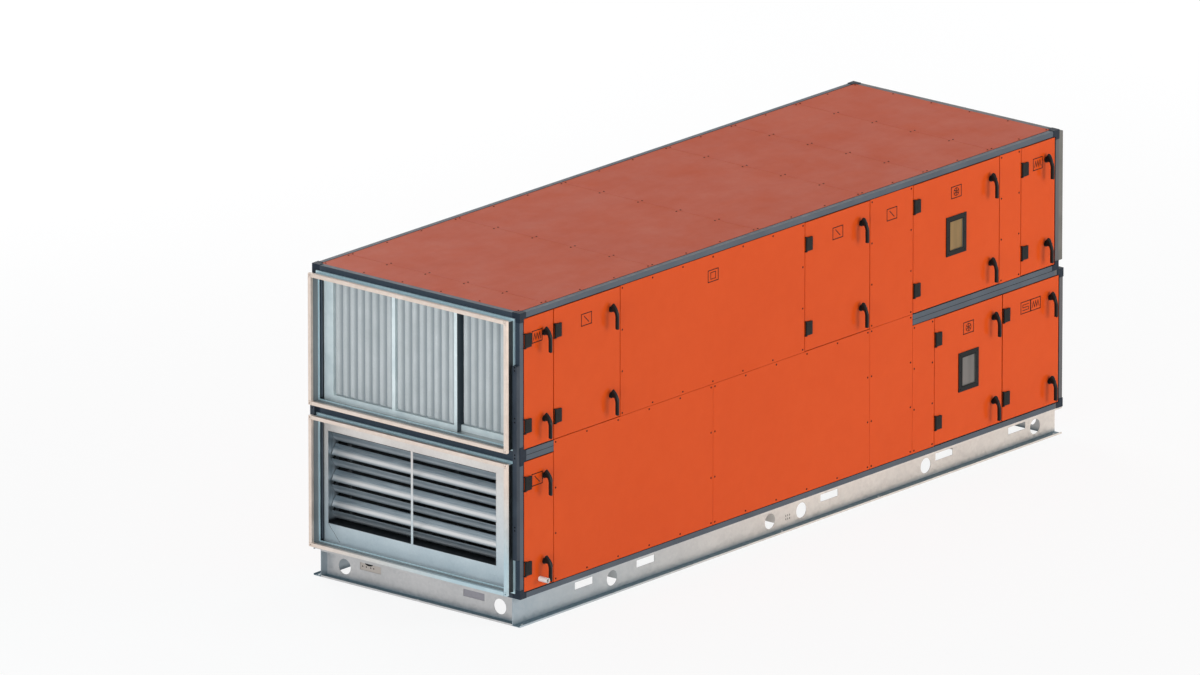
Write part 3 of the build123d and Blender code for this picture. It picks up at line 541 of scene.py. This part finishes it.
# Joining strips: painted steel strips screwed over the corner posts of both decks, with pairs of
# fixing holes left open.
strip_coat, shader, place = finish("strip_coating", roughness=0.5, specular_ior_level=0.3)
tone = place.noise(5.0, 4.0, 0.6).band(0.3, 0.7, 0.0, 1.0)
tone.tint((0.022, 0.030, 0.042, 1), (0.038, 0.050, 0.066, 1)).to(shader, "Base Color")
place.noise(30.0, 4.0).band(0.3, 0.7, 0.42, 0.58).to(shader, "Roughness")
place.noise(400.0, 2.0).bump(shader, 0.12, 0.0004)
dress(strip_coat, "joining_strips")
bm = bmesh.new()
# The open fixing holes are thin black discs on the strips: painted shade in the holes.
hole_rim = [(0, 0.1), (3.4, 0.1), (4.4, 0.8), (6.4, 0.6), (7.0, 0)]
for y in (20.5, width - 20.5):
    for z in (1785, 1760, 1395, 1365, 1115, 1090, 560, 535):
        turned(bm, hole_rim, at(-32, y, z), Vector((-1, 0, 0)))
piece("strip_hole_shades", bm, "casing", rubber, 50)

# Filter bank: a galvanised holding frame and three filters of pale synthetic fleece, folded into
# rounded pleats and glued into their rims. The near cell stands further in. The fleece is painted
# darker towards the pleats' valleys, and the frame's side at the step near black, both as painted shade.
frame_steel, shader, place = finish("filter_frame_steel", metallic=0.2, roughness=0.4)
sheet = place.noise(12.0, 4.0).band(0.3, 0.7, 0, 1).tint((0.62, 0.70, 0.71, 1), (0.74, 0.81, 0.81, 1))
# The side of the step between the cells is painted near black: painted shade.
shaded_step_side = place.axis(1).inside(corner.y + 0.6588, corner.y + 0.6602)
shaded_step_side.tint(sheet, (0.035, 0.050, 0.062, 1)).to(shader, "Base Color")
place.noise(30.0, 4.0).band(0.3, 0.7, 0.34, 0.5).to(shader, "Roughness")
dress(frame_steel, "filter_frame")
fleece, shader, place = finish("filter_fleece", roughness=0.9, sheen_weight=0.2)
fibres = place.stretched(1, 1, 0.25).noise(240.0, 4.0, 0.7)
tone = (fibres * 0.5 + place.noise(6.0, 3.0) * 0.5).band(0.3, 0.7, 0, 1)
unshaded = tone.tint((0.42, 0.445, 0.445, 1), (0.54, 0.56, 0.56, 1))
# The fleece is painted darker towards each pleat's valley: painted shade.
depth = place.node("ShaderNodeAttribute", {}, output=2, attribute_name="valley_shade")
depth.tint(unshaded, (0.25, 0.28, 0.295, 1)).to(shader, "Base Color")
fibres.bump(shader, 0.5, 0.0012)
cells = bmesh.new()
valley_shade = cells.verts.layers.float.new("valley_shade")
pleats, around, crest_depth, end_round, rim_depth = 8, 16, 30, 26, 39
ends = (0, 2, 6, 12, 19, 26)
middles, step_back = (375, 975, 1575), 45
for middle in middles:
    front = 72 + (step_back if middle == middles[0] else 0)
    left, right, foot, head_z = middle - 284, middle + 284, 1187.7, 2094.7
    levels = [foot] + [foot + rise for rise in ends]
    levels += spread(foot + end_round, head_z - end_round, 140)[1:-1]
    levels += [head_z - rise for rise in reversed(ends)] + [head_z]
    steps = [-1] + list(range(pleats * around + 1)) + [pleats * around + 1]
    grid = bmesh.ops.create_grid(cells, x_segments=len(steps) - 1, y_segments=len(levels) - 1, size=1)
    grid = sorted(grid["verts"], key=lambda vert: (round(vert.co.y, 5), round(vert.co.x, 5)))
    for number, vert in enumerate(grid):
        level, step = levels[number // len(steps)], steps[number % len(steps)]
        near_end = min(1, min(level - foot, head_z - level) / end_round)
        swell = math.sqrt(1 - (1 - near_end) ** 2)
        share = min(1, max(0, step / (pleats * around)))
        sunk = (0.5 + 0.5 * math.cos(math.tau * share * pleats)) ** 2.4
        sunk = 1 - swell * (1 - sunk)
        at_rim = number // len(steps) in (0, len(levels) - 1) or step in (steps[0], steps[-1])
        x = front + (rim_depth if at_rim else crest_depth * sunk)
        vert.co = at(x, left + share * (right - left), level)
        vert[valley_shade] = sunk ** 1.2
for middle in middles:
    front = 110 + (step_back if middle == middles[0] else 0)
    left, right, foot, head_z = middle - 284.5, middle + 284.5, 1187.2, 2095.2
    for low_y, high_y in ((left - 11.5, left), (right, right + 11.5)):
        strip(cells, at(front + 0.5, low_y, foot - 12), at(front + 20, high_y, head_z + 12), 1.5)
    for low_z, high_z in ((foot - 12, foot), (head_z, head_z + 12)):
        strip(cells, at(front + 0.5, left, low_z), at(front + 20, right, high_z), 1.5)
pleated = piece("filter_pleats", cells, "casing", fleece, 60)
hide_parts("filter_cells")

# Damper: opposed blades of extruded aluminium in a galvanised frame, behind a folded blanking
# plate that is warm at the top and cold at the foot. The frame's foot is painted near black as
# painted shade; every blade has a painted highlight near its crest, strong on every second blade,
# and painted shade along its lower edge.
blanking, shader, place = finish("blanking_sheet", metallic=0.3, roughness=0.45)
tone = place.noise(3.0, 4.0, 0.6) * 0.7 + place.noise(60.0) * 0.3
tone = tone.band(0.3, 0.7, 0, 1)
warm = tone.tint((0.62, 0.56, 0.52, 1), (0.74, 0.69, 0.65, 1))
cold = tone.tint((0.44, 0.52, 0.56, 1), (0.56, 0.63, 0.66, 1))
place.axis(2).band(corner.z + 0.15, corner.z + 0.95, 0.0, 1.0).tint(cold, warm).to(shader, "Base Color")
place.noise(9.0, 4.0).band(0.3, 0.7, 0.38, 0.55).to(shader, "Roughness")
dress(blanking, "blanking_plate")
damper_sheet, shader, place = finish("damper_sheet", metallic=0.7, roughness=0.42)
tone = place.stretched(3, 1, 0.5).noise(8.0, 4.0, 0.6).band(0.3, 0.7, 0, 1)
side = tone.tint((0.20, 0.24, 0.27, 1), (0.40, 0.45, 0.48, 1))
# Below about 205 mm the damper frame is painted near black as painted shade.
shade = place.axis(2).band(corner.z + 0.205, corner.z + 0.225, 1.0, 0.0)
shade.tint(side, (0.026, 0.031, 0.036, 1)).to(shader, "Base Color")
place.noise(18.0, 3.0).band(0.2, 0.8, 0.34, 0.5).to(shader, "Roughness")
dress(damper_sheet, "damper_frame")
blade_finishes = []
for first, name, dull, bright, highlight_share in (
    (247, "blade_aluminium", (0.17, 0.205, 0.235, 1), (0.30, 0.35, 0.38, 1), 0.35),
    (347, "blade_aluminium_crest", (0.17, 0.215, 0.25, 1), (0.34, 0.40, 0.44, 1), 1.0),
):
    blade_metal, shader, place = finish(name, metallic=0.75, roughness=0.38)
    brushed = place.stretched(30, 0.6, 30).noise(12.0, 3.0)
    plain = brushed.band(0.3, 0.7, 0, 1).tint(dull, bright)
    # Height above each blade's own centre, in metres: the blades repeat every two pitches.
    rise = place.axis(2) - (corner.z + (first - 100) / 1000)
    rise = rise.node("ShaderNodeMath", {0: rise, 1: 0.2, 2: 0.0}, operation="WRAP") - 0.1
    # A painted highlight near each blade's crest, and painted shade along its lower edge.
    painted_highlight = (rise + 0.013).maths("ABSOLUTE").band(0.005, 0.022, highlight_share, 0.0)
    foot = rise.band(-0.040, -0.024, 0.55, 0.0)
    lit = painted_highlight.tint(plain, (0.66, 0.66, 0.66, 1))
    foot.tint(lit, (0.03, 0.036, 0.042, 1)).to(shader, "Base Color")
    brushed.band(0.3, 0.7, 0.32, 0.5).to(shader, "Roughness")
    brushed.bump(shader, 0.1, 0.0003)
    blade_finishes.append(blade_metal)
for number in range(1, 8):
    dress(blade_finishes[1 - number % 2], "damper_blade_%d" % number)

# Blade seals: black rubber lips let into both edges of each blade, and a stiffening rib along it.
for number in range(1, 8):
    low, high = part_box("damper_blade_%d" % number)
    middle = (low + high) / 2
    tilt = math.radians(-35 if number % 2 else 35)
    lean = Vector((math.sin(tilt), 0, math.cos(tilt)))
    face = Vector((math.cos(tilt), 0, -math.sin(tilt)))
    for name, reach, thick, stand, material, slot in (
        ("seal", 46.3, 3.2, 0, rubber, "black_plastic"),
        ("rib", 9, 5, -5.2, blade_finishes[1 - number % 2], "blade_aluminium"),
    ):
        # A round bar is flattened to 1.1 along the blade's chord by 0.8 across it.
        along_chord, across_chord = lean * 1.1 * thick / 2000, face * 0.8 * thick / 2000
        shape = Matrix((along_chord, across_chord, (0, 1, 0))).transposed().to_4x4()
        bm = bmesh.new()
        for sign in (-1, 1):
            centre = middle + lean * reach * sign / 1000 + face * stand / 1000
            bar = bmesh.ops.create_cone(
                bm, cap_ends=True, segments=8, radius1=1, radius2=1, depth=1.624
            )["verts"]
            bmesh.ops.transform(bm, matrix=Matrix.Translation(centre) @ shape, verts=bar)
        body = "damper_blade_%d" % number
        piece("blade_%s_%d" % (name, number), bm, body, material, 60)

# Blade end buffers: black nylon crosses clipped to the damper's side plates, where two blades
# meet. The pairs of blades meet near the front and deep in the frame by turns.
bm = bmesh.new()
for k in range(6):
    depth = 130 + (27 if k % 2 else -27)
    height = 547 + (k - 2.5) * 100
    for y_low, y_high in ((1882, 1885), (311, 314)):
        strip(bm, at(depth - 17, y_low, height - 4), at(depth + 17, y_high, height + 4), 1.0)
        strip(bm, at(depth - 4, y_low, height - 17), at(depth + 4, y_high, height + 17), 1.0)
piece("blade_end_buffers", bm, "casing", plastic)

# Blanking plate folds: the sheets' turned edges round the damper, lapped and screwed at a corner.
bm = bmesh.new()
for y_low, y_high, z_low, z_high in (
    (1911, 1917, 185, 909), (279, 284, 185, 909), (281, 1915, 903, 909), (281, 1915, 185, 190),
):
    strip(bm, at(65.4, y_low, z_low), at(67, y_high, z_high), 0.5)
fold_screw = [(0, 1.6), (2.6, 1.6), (3.6, 0.9), (5.0, 0.4), (5.4, 0)]
fold_spots = [(1925, 150), (1925, 70), (120, 547)] + [(y, 117) for y in (1500, 1100, 700, 300, 120)]
for y, z in fold_spots:
    turned(bm, fold_screw, at(67, y, z), Vector((-1, 0, 0)))
piece("blanking_folds", bm, "casing", blanking, 50)
bm = bmesh.new()
start, end = at(66.6, 1912, 186), at(66.6, 1800, 60)
across = (end - start).cross(Vector((1, 0, 0))).normalized() * 0.0012
quad = [bm.verts.new(v) for v in (start - across, start + across, end + across, end - across)]
bm.faces.new(quad)
bmesh.ops.solidify(bm, geom=bm.faces[:], thickness=-0.0004)
piece("blanking_lap", bm, "casing", rubber)

# Base: folded galvanised channels with fork slots and lifting holes, and cross members, bolted
# together. The long webs warm from cold to beige along the unit, and the plates behind the end slots
# have their own tones. The low flanges are painted dark blue-grey as painted shade, fading out up
# the webs to 40 mm above the floor, all but the flanges' outer edge faces.
for name, near_dark, near_light, far_dark, far_light, nodes in (
    (
        "base_side_sheet", (0.30, 0.36, 0.40, 1), (0.38, 0.43, 0.46, 1),
        (0.54, 0.49, 0.45, 1), (0.66, 0.61, 0.56, 1), ("base_side_beams", "base_cross_members"),
    ),
    (
        "base_end_sheet", (0.43, 0.425, 0.425, 1), (0.55, 0.535, 0.53, 1),
        (0.43, 0.425, 0.425, 1), (0.55, 0.535, 0.53, 1), ("base_end_beams",),
    ),
):
    base_zinc, shader, place = finish(name, roughness=0.42)
    along, across, height = place.axis(0), place.axis(1), place.axis(2)
    spangle = place.node("ShaderNodeTexVoronoi", {"Vector": place, "Scale": 48.0}, output=1)
    grain = spangle.node("ShaderNodeSeparateColor", {"Color": spangle})
    tone = (grain * 0.3 + place.noise(3.0, 4.0, 0.6) * 0.7).band(0.2, 0.8, 0.0, 1.0)
    near, far = tone.tint(near_dark, near_light), tone.tint(far_dark, far_light)
    unshaded = along.band(corner.x + 0.07, corner.x + 3.2, 0.0, 1.0).tint(near, far)
    plate = along.inside(corner.x + 0.0735, corner.x + 0.0775)
    far_half = across.maths("GREATER_THAN", corner.y + 1)
    if name == "base_end_sheet":
        unshaded = plate.tint(unshaded, far_half.tint((0.27, 0.26, 0.285, 1), (0.43, 0.385, 0.35, 1)))
    # Painted shade: the flanges and the foot of the webs take this dark blue-grey.
    dull = place.noise(16.0, 4.0).tint((0.080, 0.135, 0.170, 1), (0.120, 0.185, 0.220, 1))
    share = height.band(0.0045, 0.040, 0.0, 1.0).maths("POWER", 0.6)
    lips = across.maths("LESS_THAN", corner.y + 0.0005)
    lips = lips + across.maths("GREATER_THAN", corner.y + 1.9995)
    lips = lips + along.maths("LESS_THAN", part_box("base_end_beams")[0].x + 0.0008)
    lips = (lips + along.maths("GREATER_THAN", corner.x + 6.3125)).maths("MINIMUM", 1.0)
    share = (share + lips).maths("MINIMUM", 1.0)
    share.tint(dull, unshaded).to(shader, "Base Color")
    share.band(0.0, 1.0, 0.15, 0.6).to(shader, "Metallic")
    (grain * 0.5 + place.noise(18.0, 3.0) * 0.5).band(0.2, 0.8, 0.36, 0.58).to(shader, "Roughness")
    place.noise(120.0, 3.0).bump(shader, 0.15, 0.0005)
    dress(base_zinc, *nodes)

# Base fixings: drilled lashing holes by each lifting hole, flange bolts, and the screws of the
# plates that close the end slots.
bm = bmesh.new()
# The lashing holes are thin black discs on the flanges: painted shade in the holes.
hole = [(0, 0.2), (4.5, 0.2), (5.0, 0)]
flange_top = -211
offsets = (-51, -17, 17, 51)
for x in (1131, 2952, 3317, 4777, 6078):
    for side_y in (16, width - 16):
        for offset in offsets:
            turned(bm, hole, at(x + offset, side_y, flange_top), Vector((0, 0, 1)), 8)
for y in (250, 1757):
    for offset in offsets:
        turned(bm, hole, at(16, y + offset, flange_top), Vector((0, 0, 1)), 8)
plate_low_x = 3137
for k in range(6):
    for row in range(2):
        spot = at(plate_low_x + 22 * (k % 3), 70, -150 + 26 * row + 8 * (k // 3))
        turned(bm, [(0, 0.3), (4.0, 0.3), (4.4, 0)], spot, Vector((0, -1, 0)), 8)
piece("lashing_holes", bm, "casing", rubber)
bm = bmesh.new()
hexagon = [(0, 6.0), (6.5, 6.0), (7.6, 5.0), (7.6, 1.6), (10.5, 1.6), (10.5, 0)]
for y in (1003, 1960):
    turned(bm, hexagon, at(20, y, flange_top), Vector((0, 0, 1)), 6)
for x in (60, 3045, 4175, 6250):
    for side_y in (30, width - 30):
        turned(bm, hexagon, at(x, side_y, flange_top), Vector((0, 0, 1)), 6)
piece("base_bolts", bm, "casing", zinc)

# Slot recess: the far end slot's plate has four small holes and the foot of a larger one, punched
# through the sheet. They are shallow black discs and half a disc on its face, painted shade in the holes.
bm = bmesh.new()
for y in (1477, 1506, 1549, 1585):
    turned(bm, [(0, 0.5), (5.0, 0.5), (5.6, 0)], at(74, y, -80), Vector((-1, 0, 0)))
half = bmesh.ops.create_circle(bm, cap_ends=True, radius=1, segments=32)["verts"]
shape = Matrix.Translation(at(73.6, 1523, -53)) @ Matrix.Diagonal((1, 0.039, 0.016, 1))
bmesh.ops.transform(bm, matrix=shape @ Matrix.Rotation(math.radians(90), 4, "Y"), verts=half)
bmesh.ops.bisect_plane(
    bm, geom=half + list(half[0].link_faces[0].edges) + list(half[0].link_faces),
    plane_co=at(73.6, 1523, -53), plane_no=(0, 0, 1), clear_outer=True,
)
piece("slot_recess", bm, "casing", rubber)

# Flange joints: the seams where each duct flange's pressed corner pieces meet its bars, on the
# two front flanges.
bm = bmesh.new()
for foot, head_z in ((41, 1053), (1135, 2147.2)):
    for y, y_in in ((41, 1), (1959, -1)):
        for z, z_in in ((foot, 1), (head_z, -1)):
            y_low, y_high = sorted((y + y_in * 29, y + y_in * 30.2))
            z_low, z_high = sorted((z + z_in * 0.5, z + z_in * 27.5))
            strip(bm, at(-100, y_low, z_low), at(-99.2, y_high, z_high), 0)
            y_low, y_high = sorted((y + y_in * 0.5, y + y_in * 27.5))
            z_low, z_high = sorted((z + z_in * 29, z + z_in * 30.2))
            strip(bm, at(-100, y_low, z_low), at(-99.2, y_high, z_high), 0)
piece("flange_joints", bm, "casing", rubber)

# Outlet collar: a folded sheet skirt round the outlet flange, nearly as wide as the casing, with a
# back plate against the casing's end.
collar_zinc, shader, place = finish("collar_zinc", metallic=0.3, roughness=0.45)
tone = place.noise(6.0, 4.0).band(0.3, 0.7, 0, 1)
tone.tint((0.115, 0.112, 0.098, 1), (0.165, 0.16, 0.145, 1)).to(shader, "Base Color")
place.noise(200.0, 2.0).bump(shader, 0.12, 0.0004)
bm = bmesh.new()
near_y, far_y, low_z, high_z = 3, width - 3, 1160, 2170
x_low, x_high = upper_length, upper_length + 50
for y in (near_y, far_y - 2):
    strip(bm, at(x_low, y, low_z), at(x_high, y + 2, high_z), 0.4)
for z in (low_z, high_z - 2):
    strip(bm, at(x_low, near_y + 2, z), at(x_high, far_y - 2, z + 2), 0.4)
strip(bm, at(x_low + 0.2, near_y + 2, 2147.2), at(x_low + 2, far_y - 2, high_z - 2), 0.2)
for y_low, y_high in ((near_y + 2, 41), (width - 41, far_y - 2)):
    strip(bm, at(x_low + 0.2, y_low, low_z + 2), at(x_low + 2, y_high, 2147), 0.2)
piece("outlet_collar", bm, "casing", collar_zinc)

# Studio: a pale floor that keeps the unit's shadow, soft lamps, and a white surround that only
# the camera, glossy and transmitted rays see.
floor_mesh = bmesh.new()
bmesh.ops.create_grid(floor_mesh, x_segments=2, y_segments=2, size=60)
mesh = bpy.data.meshes.new("floor")
floor_mesh.to_mesh(mesh)
floor_mesh.free()
floor = bpy.data.objects.new("floor", mesh)
floor.location = (0, 0, -0.001)
bpy.context.scene.collection.objects.link(floor)
pale = bpy.data.materials.new("pale_floor")
pale.use_nodes = True
tree = pale.node_tree
shader = tree.nodes["Principled BSDF"]
shader.inputs["Base Color"].default_value = (0.9, 0.9, 0.9, 1)
shader.inputs["Roughness"].default_value = 0.9
light_path = tree.nodes.new("ShaderNodeLightPath")
glow = tree.nodes.new("ShaderNodeEmission")
glow.inputs["Color"].default_value = (1, 1, 1, 1)
glow.inputs["Strength"].default_value = 1.0
mix = tree.nodes.new("ShaderNodeMixShader")
share = tree.nodes.new("ShaderNodeMath")
share.operation = "MULTIPLY"
share.inputs[1].default_value = 0.88
seen = tree.nodes.new("ShaderNodeMath")
seen.operation = "ADD"
seen.use_clamp = True
tree.links.new(light_path.outputs["Is Camera Ray"], seen.inputs[0])
tree.links.new(light_path.outputs["Is Glossy Ray"], seen.inputs[1])
tree.links.new(seen.outputs[0], share.inputs[0])
tree.links.new(share.outputs[0], mix.inputs["Fac"])
tree.links.new(shader.outputs[0], mix.inputs[1])
tree.links.new(glow.outputs[0], mix.inputs[2])
tree.links.new(mix.outputs[0], tree.nodes["Material Output"].inputs["Surface"])
mesh.materials.append(pale)

world = bpy.data.worlds.new("studio")
bpy.context.scene.world = world
world.use_nodes = True
tree = world.node_tree
tree.nodes.clear()
light_path = tree.nodes.new("ShaderNodeLightPath")
seen = tree.nodes.new("ShaderNodeMath")
seen.operation = "ADD"
also = tree.nodes.new("ShaderNodeMath")
also.operation = "ADD"
also.use_clamp = True
fill = tree.nodes.new("ShaderNodeBackground")
fill.inputs["Color"].default_value = (0.93, 0.96, 1.0, 1)
fill.inputs["Strength"].default_value = 0.46
surround = tree.nodes.new("ShaderNodeBackground")
surround.inputs["Color"].default_value = (1, 1, 1, 1)
surround.inputs["Strength"].default_value = 1.0
mix = tree.nodes.new("ShaderNodeMixShader")
out = tree.nodes.new("ShaderNodeOutputWorld")
tree.links.new(light_path.outputs["Is Camera Ray"], seen.inputs[0])
tree.links.new(light_path.outputs["Is Glossy Ray"], seen.inputs[1])
tree.links.new(seen.outputs[0], also.inputs[0])
tree.links.new(light_path.outputs["Is Transmission Ray"], also.inputs[1])
tree.links.new(also.outputs[0], mix.inputs["Fac"])
tree.links.new(fill.outputs[0], mix.inputs[1])
tree.links.new(surround.outputs[0], mix.inputs[2])
tree.links.new(mix.outputs[0], out.inputs["Surface"])

for name, spot, aim, size, power, colour in (
    ("service_lamp", (9, -18, 3.5), (1.4, -0.9, 1.2), 9, 1950, (1.0, 0.96, 0.92)),
    ("end_lamp", (-17, -5, 3.5), (-3.1, 0, 1.2), 8, 1500, (0.90, 0.96, 1.0)),
    ("back_lamp", (6, 16, 3.5), (0, 1, 1.2), 9, 1500, (1.0, 1.0, 1.0)),
    ("far_lamp", (18, 3, 3.5), (3, 0, 1.2), 8, 900, (1.0, 1.0, 1.0)),
):
    lamp = bpy.data.lights.new(name, "AREA")
    lamp.shape = "SQUARE"
    lamp.size = size
    lamp.energy = power
    lamp.color = colour
    holder = bpy.data.objects.new(name, lamp)
    holder.location = spot
    holder.rotation_mode = "QUATERNION"
    holder.rotation_quaternion = (Vector(aim) - Vector(spot)).to_track_quat("-Z", "Y")
    bpy.context.scene.collection.objects.link(holder)

# Camera: far off with a long lens, turned about 50 degrees round the duct end and 17 degrees up.
turn, lift, distance = math.radians(49.8288), math.radians(16.9432), 157.465
gaze = Vector((math.sin(turn) * math.cos(lift), math.cos(turn) * math.cos(lift), -math.sin(lift)))
lens = bpy.data.cameras.new("camera")
lens.sensor_fit = "HORIZONTAL"
lens.sensor_width = 36
lens.lens = 644.03
lens.clip_start = 10
lens.clip_end = 400
camera = bpy.data.objects.new("camera", lens)
camera.location = at(910.866, 0, 1799.538) - gaze * distance
camera.rotation_mode = "QUATERNION"
camera.rotation_quaternion = gaze.to_track_quat("-Z", "Y")
bpy.context.scene.collection.objects.link(camera)
bpy.context.scene.camera = camera
bpy.context.scene.view_settings.view_transform = "Standard"
